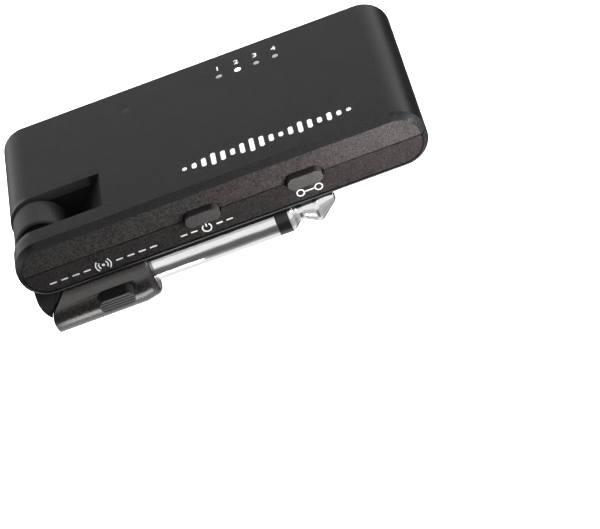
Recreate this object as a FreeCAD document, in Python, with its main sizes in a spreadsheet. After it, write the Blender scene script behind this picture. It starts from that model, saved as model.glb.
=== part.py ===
import FreeCAD, Part

import math
import os
import re
import Sketcher

# A plug-on wireless transmitter for an electric guitar. A flat battery and radio case hangs by a
# hinge from a short arm that carries a 6.35 mm two-pole phone plug.
#
# Frame: the origin is on the plug's axis at its shoulder, where a jack's face meets the housing.
# +X runs along the plug to its tip, +Z is up towards the case, and -Y is the side with the buttons.

Vector = FreeCAD.Vector
Rotation = FreeCAD.Rotation

DIMENSIONS = {
    # the case
    "case_left": -19.2,
    "case_front": -9.54,
    "case_bottom": 6.09,
    "case_length": 68.0,
    "case_width": 37.84,
    "case_height": 10.0,
    "corner_radius": 4.7,
    "bevel_depth": 1.14,
    "bevel_inset": 0.97,
    "cover_wall": 1.6,
    "chassis_wall": 0.6,
    "parting_height": 5.1,
    "seam_half": 0.07,
    "fit_gap": 0.04,
    "plate_depth": 1.4,
    "plate_draft": 0.3,
    "plate_gap": 0.1,
    "inner_inset": 2.3,
    # the bay that the arm folds through
    "hinge_offset": 4.85,
    "bay_front": 4.75,
    "bay_back": 14.4,
    "bay_radius": 4.8,
    "bay_wall": 0.9,
    "bay_undercut": 0.35,
    "root_two": 1.41421356,
    "overrun": 3.0,
    # the knuckle, the arm and what turns on the pin
    "knuckle_radius": 4.6,
    "barrel_wall": 0.8,
    "barrel_chamfer": 0.22,
    "cheek_radius": 4.4,
    "cheek_reach": 0.3,
    "arm_front": -2.54,
    "arm_back": 4.2,
    "arm_right": 0.75,
    "arm_wall": 0.8,
    "blade_inset": 0.55,
    "blade_depth": 1.25,
    "cap_top_drop": 2.6,
    "elbow_radius": 5.6,
    "elbow_start": 7.9,
    "cap_radius": 5.2,
    "core_radius": 4.6,
    "core_end": -10.2,
    "core_inset": 0.5,
    "neck_left": 2.6,
    "pin_radius": 1.2,
    "pin_bore": 0.45,
    "pin_end": 0.9,
    "washer_gap": 0.15,
    "bush_radius": 1.7,
    "bush_bore": 1.25,
    "ring_radius": 3.0,
    "ring_half": 0.9,
    "ring_space": 0.12,
    "notch_radius": 0.45,
    # the housing and its lock
    "housing_radius": 5.7,
    "housing_wall": 1.0,
    "housing_left": -17.7,
    "lip_corner": 0.1,
    "lip_right": -11.8,
    "lip_top": 5.9,
    "lip_round": 4.0,
    "taper_length": 2.7,
    "taper_end_radius": 5.25,
    "nose_length": 0.5,
    "nose_radius": 4.8,
    "end_wall": 2.2,
    "lip_foot_round": 1.6,
    "cap_left": -17.85,
    "cap_corner": -1.2,
    "cap_right": -14.5,
    "lock_middle": -6.55,
    "lock_height": 0.24,
    "lock_length": 5.9,
    "lock_width": 2.3,
    "lock_reach": 8.34,
    "lock_depth": 4.2,
    "lock_gap": 0.12,
    "lock_rim": 0.45,
    "lock_flange": 0.6,
    "rib_pitch": 0.48,
    "rib_height": 0.2,
    "slider_left": 1.25,
    "slider_right": 0.1,
    "slider_half": 0.6,
    "slider_low": -0.3,
    "slider_high": 1.1,
    "slider_tab": 2.4,
    "slider_end": 1.0,
    "slider_gap": 0.15,
    "slider_drop": 0.85,
    "spring_pitch": 0.75,
    "spring_length": 3.4,
    "spring_radius": 0.8,
    "spring_wire": 0.16,
    # the plug
    "plug_radius": 3.175,
    "sleeve_length": 21.1,
    "ring_length": 2.2,
    "tip_length": 8.0,
    "rod_radius": 1.1,
    "tube_radius": 1.9,
    "root_radius": 3.0,
    "collar_radius": 4.1,
    "collar_length": 0.95,
    "tail_end": -7.0,
    "tube_end": -5.5,
    "slip": 0.01,
    "tip_lug_radius": 1.5,
    "tip_lug_thick": 0.4,
    "sleeve_lug_radius": 2.3,
    "sleeve_lug_thick": 0.48,
    "wire_radius": 0.35,
    "wire_row": 2.3,
    "wire_left": 0.5,
    "wire_gap": 0.1,
    "wire_top": 3.6,
    # the buttons
    "button_length": 5.75,
    "button_height": 2.15,
    "button_reach": 1.2,
    "button_gap": 0.25,
    "power_middle": 11.5,
    "pair_middle": 28.45,
    "flange_rim": 0.6,
    "flange_depth": 0.6,
    "stem_length": 0.9,
    "button_travel": 0.5,
    "stem_radius": 0.8,
    "switch_half": 2.2,
    "switch_depth": 2.0,
    "switch_height": 2.4,
    "plunger_radius": 0.6,
    "plunger_length": 0.3,
    "switch_gap": 0.05,
    # the lights
    "light_first": 19.7,
    "light_pitch": 3.25,
    "light_row": 20.79,
    "light_radius": 0.53,
    "light_rim": 0.65,
    "light_recess": 0.08,
    "chip_half": 0.4,
    "chip_height": 0.5,
    "chip_clear": 0.15,
    "blank_middle": 3.36,
    "blank_row": 20.91,
    "blank_radius": 0.81,
    # the board and what it carries
    "board_left": 0.5,
    "board_right": 45.5,
    "board_front": -5.9,
    "board_back": 25.8,
    "board_bottom": 9.2,
    "board_thick": 0.8,
    "board_gap": 0.2,
    "solder_gap": 0.02,
    "port_middle": 38.0,
    "port_width": 8.94,
    "port_height": 3.2,
    "port_depth": 7.3,
    "port_wall": 0.3,
    "port_floor": 1.0,
    "tongue_half": 3.3,
    "tongue_rise": 0.35,
    "tongue_set_back": 1.6,
    "screw_radius": 0.8,
    "screw_head": 1.5,
    "screw_top": 0.7,
    "screw_inset": 2.5,
    "screw_back": 12.0,
    "post_sink": 0.1,
}

doc = FreeCAD.newDocument("Transmitter")
sheet = doc.addObject("Spreadsheet::Sheet", "Dims")
for row, (alias, number) in enumerate(DIMENSIONS.items(), start=1):
    sheet.set("A%d" % row, alias)
    sheet.set("B%d" % row, "%.8g" % number)
    sheet.setAlias("B%d" % row, alias)
doc.recompute()

CASE_RIGHT = "case_left + case_length"
CASE_BACK = "case_front + case_width"
CASE_TOP = "case_bottom + case_height"
PARTING = "case_bottom + parting_height"
HINGE_X = "case_left + hinge_offset"
BAY_FRONT = "case_front + bay_front"
BAY_BACK = "case_front + bay_back"
BAY_LINE = HINGE_X + " - (" + PARTING + ") + bay_radius * root_two"
BOARD_TOP = "board_bottom + board_thick"
BUTTON_FACE = "case_front - button_reach"
LIGHTS = 4
NOTCHES = 8
GROOVES = 4

parts = {}


def sized(expression):
    """The expression with each alias looked up in the sheet."""
    return re.sub(r"\b([a-z][a-z_]+)\b", r"Dims.\1", str(expression))


def value(alias):
    """A driving dimension as a number, for shapes that are set in code."""
    return float(sheet.get(alias))


def bind(item, **sizes):
    for field, expression in sizes.items():
        item.setExpression(field, sized(expression))
    return item


def place(item, x, y, z, turn=Rotation()):
    item.Placement = FreeCAD.Placement(Vector(), turn)
    for axis, expression in zip("xyz", (x, y, z)):
        item.setExpression("Placement.Base." + axis, sized(expression))
    return item


def box(name, x, y, z):
    """A block between two positions along each axis."""
    item = doc.addObject("Part::Box", name)
    spans = ["(%s) - (%s)" % (high, low) for low, high in (x, y, z)]
    bind(item, Length=spans[0], Width=spans[1], Height=spans[2])
    return place(item, x[0], y[0], z[0])


AXIS_TURNS = {
    "X": Rotation(Vector(0, 1, 0), 90),
    "Y": Rotation(Vector(1, 0, 0), -90),
    "Z": Rotation(),
}


def along(axis, start, across, up):
    """The x, y, z of a point given along an axis and across it, in x, y, z order."""
    return {"X": (start, across, up), "Y": (across, start, up), "Z": (across, up, start)}[axis]


def rod(name, axis, radius, start, end, across, up):
    item = doc.addObject("Part::Cylinder", name)
    bind(item, Radius=radius, Height="(%s) - (%s)" % (end, start))
    return place(item, *along(axis, start, across, up), AXIS_TURNS[axis])


def cone(name, axis, radii, start, end, across, up):
    item = doc.addObject("Part::Cone", name)
    bind(item, Radius1=radii[0], Radius2=radii[1], Height="(%s) - (%s)" % (end, start))
    return place(item, *along(axis, start, across, up), AXIS_TURNS[axis])


def fuse(name, *items):
    item = doc.addObject("Part::MultiFuse", name)
    item.Shapes = list(items)
    item.Refine = True
    return item


def common(name, *items):
    item = doc.addObject("Part::MultiCommon", name)
    item.Shapes = list(items)
    return item


def cut(name, base, *tools):
    item = doc.addObject("Part::Cut", name)
    item.Base = base
    item.Tool = tools[0] if len(tools) == 1 else fuse(name + "_tools", *tools)
    item.Refine = True
    return item


def ring(name, axis, outer, inner, start, end, across, up):
    return cut(
        name,
        rod(name + "_outer", axis, outer, start, end, across, up),
        rod(name + "_bore", axis, inner, start, end, across, up),
    )


def part(name, item):
    """Makes an object a sub-part, whose file takes this name."""
    item.Label = name
    parts[name] = item
    return item


def origin_plane(body, role):
    return next(item for item in body.Origin.OriginFeatures if item.Role == role)


# for each plane: the sketch's own directions, and which way a pad leaves it
PLANES = {"XZ": ("XZ_Plane", -1), "YZ": ("YZ_Plane", 1)}


def outline(name, plane, points):
    """A body with one sketch: a closed outline whose corners are bound to the sheet."""
    body = doc.addObject("PartDesign::Body", name)
    sketch = body.newObject("Sketcher::SketchObject", name + "_sketch")
    sketch.AttachmentSupport = [(origin_plane(body, PLANES[plane][0]), "")]
    sketch.MapMode = "FlatFace"
    corners = [tuple(sheet.evalExpression(sized(c)) for c in point) for point in points]
    corners = [Vector(float(a), float(b), 0) for a, b in corners]
    count = len(points)
    for index in range(count):
        sketch.addGeometry(Part.LineSegment(corners[index], corners[(index + 1) % count]), False)
    for index in range(count):
        sketch.addConstraint(Sketcher.Constraint("Coincident", index, 2, (index + 1) % count, 1))
    for index, point in enumerate(points):
        for kind, number, expression in zip(("DistanceX", "DistanceY"), corners[index], point):
            held = sketch.addConstraint(Sketcher.Constraint(kind, -1, 1, index, 1, number))
            sketch.setExpression("Constraints[%d]" % held, sized(expression))
    return body, sketch


def prism(name, plane, points, start, end):
    """An outline padded from one position to another along the plane's normal."""
    body, sketch = outline(name, plane, points)
    sign = PLANES[plane][1]
    offset = start if sign > 0 else "-(%s)" % start
    sketch.setExpression("AttachmentOffset.Base.z", sized(offset))
    pad = body.newObject("PartDesign::Pad", name + "_pad")
    pad.Profile = sketch
    pad.Reversed = sign < 0
    bind(pad, Length="(%s) - (%s)" % (end, start))
    return body


def long_edges(shape, direction):
    """The names of the straight edges that run along a direction."""
    names = []
    for number, edge in enumerate(shape.Edges, start=1):
        ends = [vertex.Point for vertex in edge.Vertexes]
        if len(ends) == 2 and (ends[1] - ends[0]).normalize().cross(direction).Length < 1e-6:
            names.append("Edge%d" % number)
    return names


def rounded_bar(name, inset, start, end):
    """The case's rounded outline, drawn in by an inset, from one Y to another."""
    left = "case_left + (%s)" % inset
    right = CASE_RIGHT + " - (%s)" % inset
    low = "case_bottom + (%s)" % inset
    high = CASE_TOP + " - (%s)" % inset
    body = prism(name, "XZ", [(left, low), (right, low), (right, high), (left, high)], start, end)
    doc.recompute()
    pad = body.Tip
    fillet = body.newObject("PartDesign::Fillet", name + "_corners")
    fillet.Base = (pad, long_edges(pad.Shape, Vector(0, 1, 0)))
    bind(fillet, Radius="corner_radius - (%s)" % inset)
    return body


def slot_bar(name, length, height, start, end, middle, up):
    """A round-ended bar that runs along Y."""
    half = "((%s) - (%s)) / 2" % (length, height)
    radius = "(%s) / 2" % height
    low = "(%s) - %s" % (middle, half)
    high = "(%s) + %s" % (middle, half)
    return fuse(
        name,
        box(name + "_middle", (low, high), (start, end), (up + " - " + radius, up + " + " + radius)),
        rod(name + "_left", "Y", radius, start, end, low, up),
        rod(name + "_right", "Y", radius, start, end, high, up),
    )


def bay_space(name, ramp_wall, side_wall):
    """The space left of the ramp, from one side of the bay to the other, grown by its walls."""
    line = BAY_LINE + " + (%s) * root_two" % ramp_wall
    low = "case_bottom - overrun"
    high = CASE_TOP + " + overrun"
    corners = [
        ("case_left - overrun", low),
        (line + " + " + low, low),
        (line + " + " + high, high),
        ("case_left - overrun", high),
    ]
    front = BAY_FRONT + " - (%s)" % side_wall
    return prism(name, "XZ", corners, front, BAY_BACK + " + (%s)" % side_wall)


def above_seam(name):
    return box(
        name,
        ("case_left - overrun", CASE_RIGHT + " + overrun"),
        ("case_front - overrun", CASE_BACK + " + overrun"),
        (PARTING + " + seam_half", CASE_TOP + " + overrun"),
    )


def below_seam(name):
    return box(
        name,
        ("case_left - overrun", CASE_RIGHT + " + overrun"),
        ("case_front - overrun", CASE_BACK + " + overrun"),
        ("case_bottom - overrun", PARTING + " - seam_half"),
    )


def button_places():
    return (("power", "power_middle"), ("pair", "pair_middle"))


def light_middle(index):
    return "light_first + light_pitch * %d" % index


def beveled_block():
    """The case's full outer form, with its long side edges bevelled."""
    body = rounded_bar("case_form", "0", "case_front", CASE_BACK)
    doc.recompute()
    rounded = body.Tip
    faces = []
    for number, face in enumerate(rounded.Shape.Faces, start=1):
        if face.BoundBox.YLength < 1e-6:
            faces.append("Face%d" % number)
    bevel = body.newObject("PartDesign::Chamfer", "case_bevel")
    bevel.Base = (rounded, faces)
    bevel.ChamferType = "Two distances"
    bind(bevel, Size="bevel_depth", Size2="bevel_inset")
    return body


def make_covers():
    """Two black shells that wrap round the chassis and leave its front and back showing."""
    form = beveled_block()
    hollow = fuse(
        "cover_hollow",
        rounded_bar("cover_inside", "cover_wall", "case_front + plate_depth", CASE_BACK + " - plate_depth"),
        rounded_bar("cover_mouth_front", "bevel_inset", "case_front - overrun", "case_front + plate_depth"),
        rounded_bar("cover_mouth_back", "bevel_inset", CASE_BACK + " - plate_depth", CASE_BACK + " + overrun"),
    )
    space = bay_space("cover_bay", "0", "0")
    sleeve = cut("cover_sleeve", form, hollow, space)
    holes = [
        rod(
            "light_hole_%d" % index, "Z", "light_rim", PARTING, CASE_TOP + " + overrun",
            light_middle(index), "light_row",
        )
        for index in range(LIGHTS)
    ]
    blank = rod(
        "blank_hole", "Z", "blank_radius + fit_gap", PARTING, CASE_TOP + " + overrun",
        "blank_middle", "blank_row",
    )
    upper = common("cover_upper", sleeve, above_seam("cover_upper_side"))
    part("top_cover", cut("top_cover_shell", upper, blank, *holes))
    part("bottom_cover", common("bottom_cover_shell", sleeve, below_seam("cover_lower_side")))


def plate_prism(name, front):
    """A side wall of the chassis: each half leans in a little from the seam."""
    face = "case_front" if front else CASE_BACK
    inward = "+" if front else "-"
    low = "case_bottom - overrun"
    high = CASE_TOP + " + overrun"
    lean = "%s %s plate_draft" % (face, inward)
    deep = "%s %s plate_depth" % (face, inward)
    corners = [(lean, "case_bottom"), (face, PARTING), (lean, CASE_TOP), (deep, high), (deep, low)]
    return prism(name, "YZ", corners, "case_left - overrun", CASE_RIGHT + " + overrun")


def make_chassis():
    """Two bronze half trays inside the covers. Their side walls hold the buttons and the port."""
    inset = "cover_wall + fit_gap"
    start = "case_front + plate_depth"
    end = CASE_BACK + " - plate_depth"
    tray = cut(
        "tray_form",
        rounded_bar("tray_outside", inset, start, end),
        rounded_bar("tray_inside", inset + " + chassis_wall", start + " - overrun", end + " + overrun"),
        bay_space("tray_bay", "bay_wall + fit_gap", "bay_wall + fit_gap"),
    )
    plate_form = rounded_bar(
        "plate_form", "bevel_inset + plate_gap", "case_front - overrun", CASE_BACK + " + overrun"
    )
    plates = [
        common("plate_%s" % side, plate_form, plate_prism("plate_%s_wall" % side, side == "front"))
        for side in ("front", "back")
    ]
    openings = [
        slot_bar(
            name + "_opening", "button_length + 2 * button_gap", "button_height + 2 * button_gap",
            "case_front - overrun", "case_front + overrun", middle, PARTING,
        )
        for name, middle in button_places()
    ]
    openings.append(
        slot_bar(
            "port_opening", "port_width + 2 * fit_gap", "port_height + 2 * fit_gap",
            CASE_BACK + " - overrun", CASE_BACK + " + overrun", "port_middle", PARTING,
        )
    )
    whole = cut("chassis_whole", fuse("chassis_form", tray, *plates), *openings)
    pipes = [
        rod(
            "light_way_%d" % index, "Z", "light_rim", PARTING, CASE_TOP,
            light_middle(index), "light_row",
        )
        for index in range(LIGHTS)
    ]
    blank = rod(
        "blank_way", "Z", "blank_radius + fit_gap", PARTING, CASE_TOP, "blank_middle", "blank_row"
    )
    upper = common("chassis_upper", whole, above_seam("chassis_upper_side"))
    part("upper_chassis", cut("upper_chassis_tray", upper, blank, *pipes))
    lower = common("chassis_lower", whole, below_seam("chassis_lower_side"))
    posts = [
        rod("post_%d" % index, "Z", "screw_head", "case_bottom + inner_inset - post_sink", "board_bottom", x, y)
        for index, (x, y) in enumerate(screw_places())
    ]
    bores = [
        rod("post_bore_%d" % index, "Z", "screw_radius", "case_bottom + inner_inset", "board_bottom", x, y)
        for index, (x, y) in enumerate(screw_places())
    ]
    part("lower_chassis", cut("lower_chassis_tray", fuse("lower_with_posts", lower, *posts), *bores))


def screw_places():
    near = "board_left + screw_inset"
    far = "board_right - screw_inset"
    return (
        (near, "board_front + screw_inset"),
        (far, "board_front + screw_inset"),
        (near, "board_back - screw_inset"),
        (far, "board_back - screw_back"),
    )


def make_hinge_bay():
    """Black walls round the bay: a ramp at 45 degrees, and two sides that hold the pin.

    The sides stand back under the covers, so that each cover ends in a lip."""
    block = common(
        "bay_block",
        rounded_bar("bay_form", "cover_wall + fit_gap", BAY_FRONT + " - bay_wall", BAY_BACK + " + bay_wall"),
        bay_space("bay_outside", "bay_wall", "bay_wall"),
    )
    hole = rod(
        "bay_pin_hole", "Y", "pin_radius + slip", BAY_FRONT + " - overrun", BAY_BACK + " + overrun",
        HINGE_X, PARTING,
    )
    part("hinge_bay", cut("hinge_bay_walls", block, bay_space("bay_inside", "0", "bay_undercut"), hole))


def make_pin():
    start = BAY_FRONT + " - bay_wall - pin_end"
    end = BAY_BACK + " + bay_wall + pin_end"
    part("hinge_pin", ring("hinge_pin_tube", "Y", "pin_radius", "pin_bore", start, end, HINGE_X, PARTING))
    part(
        "hinge_collar",
        ring(
            "collar_ring", "Y", "pin_radius * 2", "pin_radius + slip",
            BAY_FRONT + " - bay_undercut + fit_gap", "arm_front - washer_gap", HINGE_X, PARTING,
        ),
    )
    part(
        "friction_washer",
        ring(
            "washer_ring", "Y", "ring_radius", "pin_radius + slip", "arm_back + washer_gap",
            BAY_BACK + " + bay_undercut - fit_gap", HINGE_X, PARTING,
        ),
    )
    wheel = ring(
        "detent_wheel", "Y", "ring_radius", "pin_radius + slip", "-ring_half", "ring_half", HINGE_X, PARTING
    )
    notches = []
    for index in range(NOTCHES):
        angle = 2 * math.pi * index / NOTCHES
        x = HINGE_X + " + ring_radius * (%.8f)" % math.cos(angle)
        z = PARTING + " + ring_radius * (%.8f)" % math.sin(angle)
        notches.append(rod("notch_%d" % index, "Y", "notch_radius", "-ring_half", "ring_half", x, z))
    part("detent_ring", cut("detent_ring_wheel", wheel, *notches))


def arm_outline(name, inset, start, end):
    """The arm seen from the side: upright at the left, with a large round elbow below."""
    left = HINGE_X + " - knuckle_radius"
    right = "0"
    top = PARTING
    middle = PARTING + " - elbow_start"
    centre = left + " + elbow_radius"
    upright = box(name + "_upright", (left + " + " + inset, right), (start, end), (middle, top))
    block = box(
        name + "_block", (centre, right), (start, end), (middle + " - elbow_radius + " + inset, middle)
    )
    turn = rod(name + "_turn", "Y", "elbow_radius - " + inset, start, end, centre, middle)
    return fuse(name, upright, block, turn)


def edges_near(shape, x, z):
    """The names of the edges along Y that pass near a point of the side view."""
    names = []
    for number, edge in enumerate(shape.Edges, start=1):
        middle = edge.BoundBox.Center
        if edge.BoundBox.YLength > 1 and math.hypot(middle.x - x, middle.z - z) < 0.01:
            names.append("Edge%d" % number)
    return names


def lip_side(name, left, corner, right):
    """Everything right of a sloping lip: upright up to its corner, then leaning to the right."""
    foot = "-housing_radius - slip"
    corners = [
        (left, foot),
        ("0", foot),
        ("0", "lip_top"),
        (right, "lip_top"),
        (left, corner),
    ]
    body = prism(name, "XZ", corners, "-housing_radius - overrun", "housing_radius + overrun")
    doc.recompute()
    pad = body.Tip
    bends = (("_bend", corner, "lip_round"), ("_foot", foot, "lip_foot_round"))
    for tail, level, radius in bends:
        place_x = float(sheet.evalExpression(sized(left)))
        place_z = float(sheet.evalExpression(sized(level)))
        fillet = body.newObject("PartDesign::Fillet", name + tail)
        fillet.Base = (pad, edges_near(pad.Shape, place_x, place_z))
        bind(fillet, Radius=radius)
        doc.recompute()
        pad = fillet
    return body


def make_arm():
    """The hinged arm: a black core with a bronze cap, and a black barrel round the knuckle."""
    left = HINGE_X + " - knuckle_radius"
    right = HINGE_X + " + arm_right"
    front = "arm_front"
    back = "arm_back"
    # the whole arm, inside and out
    blade = box("arm_blade", (left, right), (front, back), ("0", PARTING + " - cap_top_drop"))
    horn = rod("arm_horn", "X", "cap_radius", left, "-1", "0", "0")
    wide = "-housing_radius"
    whole = common(
        "arm_whole", fuse("arm_form", blade, horn), arm_outline("arm_side", "0", wide, "housing_radius")
    )
    barrel_space = rod(
        "barrel_space", "Y", "knuckle_radius + fit_gap", "arm_front + cheek_reach", "arm_back + overrun",
        HINGE_X, PARTING,
    )
    core_horn = rod("core_horn", "X", "core_radius", left, "core_end", "0", "0")
    core_blade = box(
        "core_blade", (left, right + " - blade_inset"),
        ("arm_front + arm_wall", "arm_back - blade_depth"), ("0", PARTING + " - knuckle_radius - fit_gap"),
    )
    core_elbow = common(
        "core_elbow", fuse("core_solid", core_horn, core_blade),
        arm_outline("core_side", "arm_wall", wide, "housing_radius"),
    )
    core_foot = rod("core_foot", "X", "core_radius", "housing_left + core_inset", "core_end", "0", "0")
    core_form = fuse("core_form", core_elbow, core_foot)
    hub = rod(
        "core_hub", "Y", "knuckle_radius - barrel_wall - fit_gap", "arm_front + arm_wall", back,
        HINGE_X, PARTING,
    )
    neck = box(
        "core_neck", (HINGE_X + " - neck_left", right + " - blade_inset"),
        ("arm_front + arm_wall", "arm_back - blade_depth"), (PARTING + " - elbow_start", PARTING),
    )
    way_left = HINGE_X + " - slider_left - slider_gap - fit_gap"
    way_sides = ("-slider_half - slider_gap", "slider_half + slider_gap")
    way_low = "slider_low - slider_drop"
    upright_way = box("upright_way", (way_left, HINGE_X + " + slider_right"), way_sides, (way_low, PARTING))
    inside = fuse("core_inside", core_form, hub, neck)
    cheek = fuse(
        "cheek_plate",
        rod("cheek_rim", "Y", "cheek_radius", front, "arm_front + cheek_reach", HINGE_X, PARTING),
        rod(
            "cheek_boss", "Y", "knuckle_radius - barrel_wall - fit_gap", front, "arm_front + arm_wall",
            HINGE_X, PARTING,
        ),
    )
    cheek_bore = rod("cheek_bore", "Y", "bush_bore", "arm_front - overrun", "arm_back + overrun", HINGE_X, PARTING)
    shell = cut(
        "cap_shell", whole, inside, upright_way, barrel_space,
        lip_side("cap_edge", "cap_left", "cap_corner", "cap_right"),
        lip_side("cap_limit", "housing_left - 2 * fit_gap", "lip_corner", "lip_right - 2 * fit_gap"),
    )
    part("arm_cap", cut("arm_cap_shell", fuse("cap_with_cheek", shell, cheek), cheek_bore))

    ring_space = rod(
        "ring_space_cut", "Y", "ring_radius + ring_space", "-ring_half - ring_space",
        "ring_half + ring_space", HINGE_X, PARTING,
    )
    bush_way = rod("bush_way", "Y", "bush_radius", "arm_front", "arm_back + overrun", HINGE_X, PARTING)
    level_way = box(
        "level_way", (way_left, "core_end + overrun"), way_sides, (way_low, "slider_high + slider_gap")
    )
    wire_rise = rod(
        "wire_rise", "Z", "wire_radius + 0.7 * wire_gap", "-2 * wire_gap", PARTING + " - wire_top",
        HINGE_X + " - wire_left", "wire_row",
    )
    wire_run = rod(
        "wire_run", "X", "wire_radius + wire_gap", HINGE_X + " - wire_left - slider_half - 2 * wire_gap",
        "core_end + overrun", "wire_row", "0",
    )
    # the core has space for the detent ring, the lock's way up to it and the wire's way
    part(
        "arm_core",
        cut("arm_core_body", inside, ring_space, bush_way, upright_way, level_way, wire_rise, wire_run),
    )
    bushes = (
        ("hinge_bush_front", "arm_front + arm_wall", "-ring_half - ring_space"),
        ("hinge_bush_back", "ring_half + ring_space", "arm_back"),
    )
    for name, start, end in bushes:
        part(name, ring(name + "_tube", "Y", "bush_radius", "bush_bore", start, end, HINGE_X, PARTING))

    barrel = fuse(
        "barrel_form",
        rod(
            "barrel_middle", "Y", "knuckle_radius", "arm_front + cheek_reach + barrel_chamfer",
            "arm_back - barrel_chamfer", HINGE_X, PARTING,
        ),
        cone(
            "barrel_front", "Y", ("knuckle_radius - barrel_chamfer", "knuckle_radius"),
            "arm_front + cheek_reach", "arm_front + cheek_reach + barrel_chamfer", HINGE_X, PARTING,
        ),
        cone(
            "barrel_back", "Y", ("knuckle_radius", "knuckle_radius - barrel_chamfer"),
            "arm_back - barrel_chamfer", back, HINGE_X, PARTING,
        ),
    )
    barrel_bore = rod(
        "barrel_bore", "Y", "knuckle_radius - barrel_wall", "arm_front", "arm_back + overrun",
        HINGE_X, PARTING,
    )
    neck_way = box(
        "neck_way", (HINGE_X + " - neck_left - fit_gap", right + " - blade_inset + fit_gap"),
        ("arm_front", "arm_back - blade_depth + fit_gap"), ("0", PARTING + " - cap_top_drop"),
    )
    part("knuckle_barrel", cut("knuckle_barrel_shell", barrel, barrel_bore, neck_way))


def make_housing():
    """The bronze tube that holds the plug: cut back on a slope at the left, tapered at the right."""
    straight = rod("housing_straight", "X", "housing_radius", "housing_left", "-taper_length", "0", "0")
    taper = cone(
        "housing_taper", "X", ("housing_radius", "taper_end_radius"), "-taper_length", "-nose_length",
        "0", "0",
    )
    nose = cone("housing_nose", "X", ("taper_end_radius", "nose_radius"), "-nose_length", "0", "0", "0")
    form = common(
        "housing_form", fuse("housing_rod", straight, taper, nose),
        lip_side("housing_lip", "housing_left", "lip_corner", "lip_right"),
    )
    inside = "housing_radius - housing_wall"
    hollow = rod("housing_hollow", "X", inside, "housing_left - overrun", "-end_wall", "0", "0")
    bore = rod("housing_bore", "X", "root_radius + fit_gap", "-end_wall - overrun", "overrun", "0", "0")
    window = slot_bar(
        "lock_window", "lock_length + 2 * lock_gap", "lock_width + 2 * lock_gap",
        "-housing_radius - overrun", "-lock_depth + overrun", "lock_middle", "lock_height",
    )
    part("plug_housing", cut("plug_housing_tube", form, hollow, bore, window))


def make_lock():
    """A ribbed push button, the slider that it works, and the slider's spring."""
    face = "-lock_reach"
    stem = slot_bar(
        "lock_stem", "lock_length", "lock_width", face, "-lock_depth", "lock_middle", "lock_height"
    )
    flange = slot_bar(
        "lock_foot", "lock_length + 2 * lock_rim", "lock_width + 2 * lock_rim", "-lock_depth",
        "-lock_depth + lock_flange", "lock_middle", "lock_height",
    )
    grooves = []
    for index in range(GROOVES):
        up = "lock_height + rib_pitch * %.1f" % (index - (GROOVES - 1) / 2)
        grooves.append(
            box(
                "lock_groove_%d" % index,
                ("lock_middle - lock_length", "lock_middle + lock_length"),
                (face + " - overrun", face + " + rib_height"),
                (up + " - rib_pitch * 0.22", up + " + rib_pitch * 0.22"),
            )
        )
    part("lock_button", cut("lock_button_cap", fuse("lock_button_form", stem, flange), *grooves))

    across = ("-slider_half", "slider_half")
    rise = ("slider_low", "slider_high")
    left = HINGE_X + " - slider_left"
    end = "lock_middle - slider_end"
    part(
        "lock_slider",
        fuse(
            "lock_slider_plate",
            box(
                "slider_upright", (left, HINGE_X + " - slider_right"), across,
                ("slider_low", PARTING + " - ring_radius - 2 * fit_gap"),
            ),
            box("slider_level", (left, end), across, rise),
            box("slider_arm", ("lock_middle - 2.6", end), ("-slider_tab", "-slider_half"), rise),
        ),
    )
    spring = doc.addObject("Part::Helix", "lock_spring_path")
    bind(spring, Pitch="spring_pitch", Height="spring_length", Radius="spring_radius")
    place(spring, "lock_middle - 2", "0", "-housing_radius + housing_wall + 0.75")
    doc.recompute()
    base = spring.Placement.Base
    start = base + Vector(value("spring_radius"), 0, 0)
    wire = Part.Circle(start, Vector(0, 1, 0), value("spring_wire")).toShape()
    shell = Part.Wire(spring.Shape.Edges).makePipeShell([Part.Wire([wire])], True, True)
    coil = doc.addObject("Part::Feature", "lock_spring_coil")
    coil.Shape = shell
    coil.Placement = FreeCAD.Placement()
    part("lock_spring", coil)


def make_plug():
    """A 6.35 mm two-pole plug: sleeve, insulating ring, tip with its rod, and the solder lugs."""
    barrel = rod("sleeve_barrel", "X", "plug_radius", "0", "sleeve_length", "0", "0")
    root = rod("sleeve_root", "X", "root_radius", "-end_wall", "0", "0", "0")
    collar = rod(
        "sleeve_collar", "X", "collar_radius", "-end_wall - collar_length", "-end_wall - fit_gap", "0", "0"
    )
    neck = rod("sleeve_neck", "X", "root_radius", "-end_wall - collar_length", "-end_wall", "0", "0")
    bore = rod("sleeve_bore", "X", "tube_radius", "-overrun * 2", "sleeve_length + overrun", "0", "0")
    part("plug_sleeve", cut("plug_sleeve_tube", fuse("sleeve_form", barrel, root, collar, neck), bore))

    end = "sleeve_length + ring_length"
    part(
        "plug_insulator",
        ring("insulator_ring", "X", "plug_radius", "tube_radius", "sleeve_length", end, "0", "0"),
    )
    part(
        "plug_inner_tube",
        ring("inner_tube", "X", "tube_radius - slip", "rod_radius", "tube_end", end, "0", "0"),
    )
    part("plug_tip", plug_tip())
    part(
        "tip_lug",
        ring(
            "tip_lug_disc", "X", "tip_lug_radius", "rod_radius + slip", "tail_end + tip_lug_thick / 2",
            "tail_end + 1.5 * tip_lug_thick", "0", "0",
        ),
    )
    part(
        "sleeve_lug",
        ring(
            "sleeve_lug_disc", "X", "sleeve_lug_radius", "tube_radius + slip",
            "-end_wall - collar_length - slip * 2 - sleeve_lug_thick",
            "-end_wall - collar_length - slip * 2", "0", "0",
        ),
    )
    turn = HINGE_X + " - wire_left"
    wires = fuse(
        "plug_wire_form",
        rod("wire_level", "X", "wire_radius", turn, "tail_end - 2 * wire_gap", "wire_row", "0"),
        rod(
            "wire_upright", "Z", "wire_radius", "0", PARTING + " - wire_top - 4 * wire_gap", turn, "wire_row"
        ),
    )
    part("plug_wire", wires)


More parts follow.
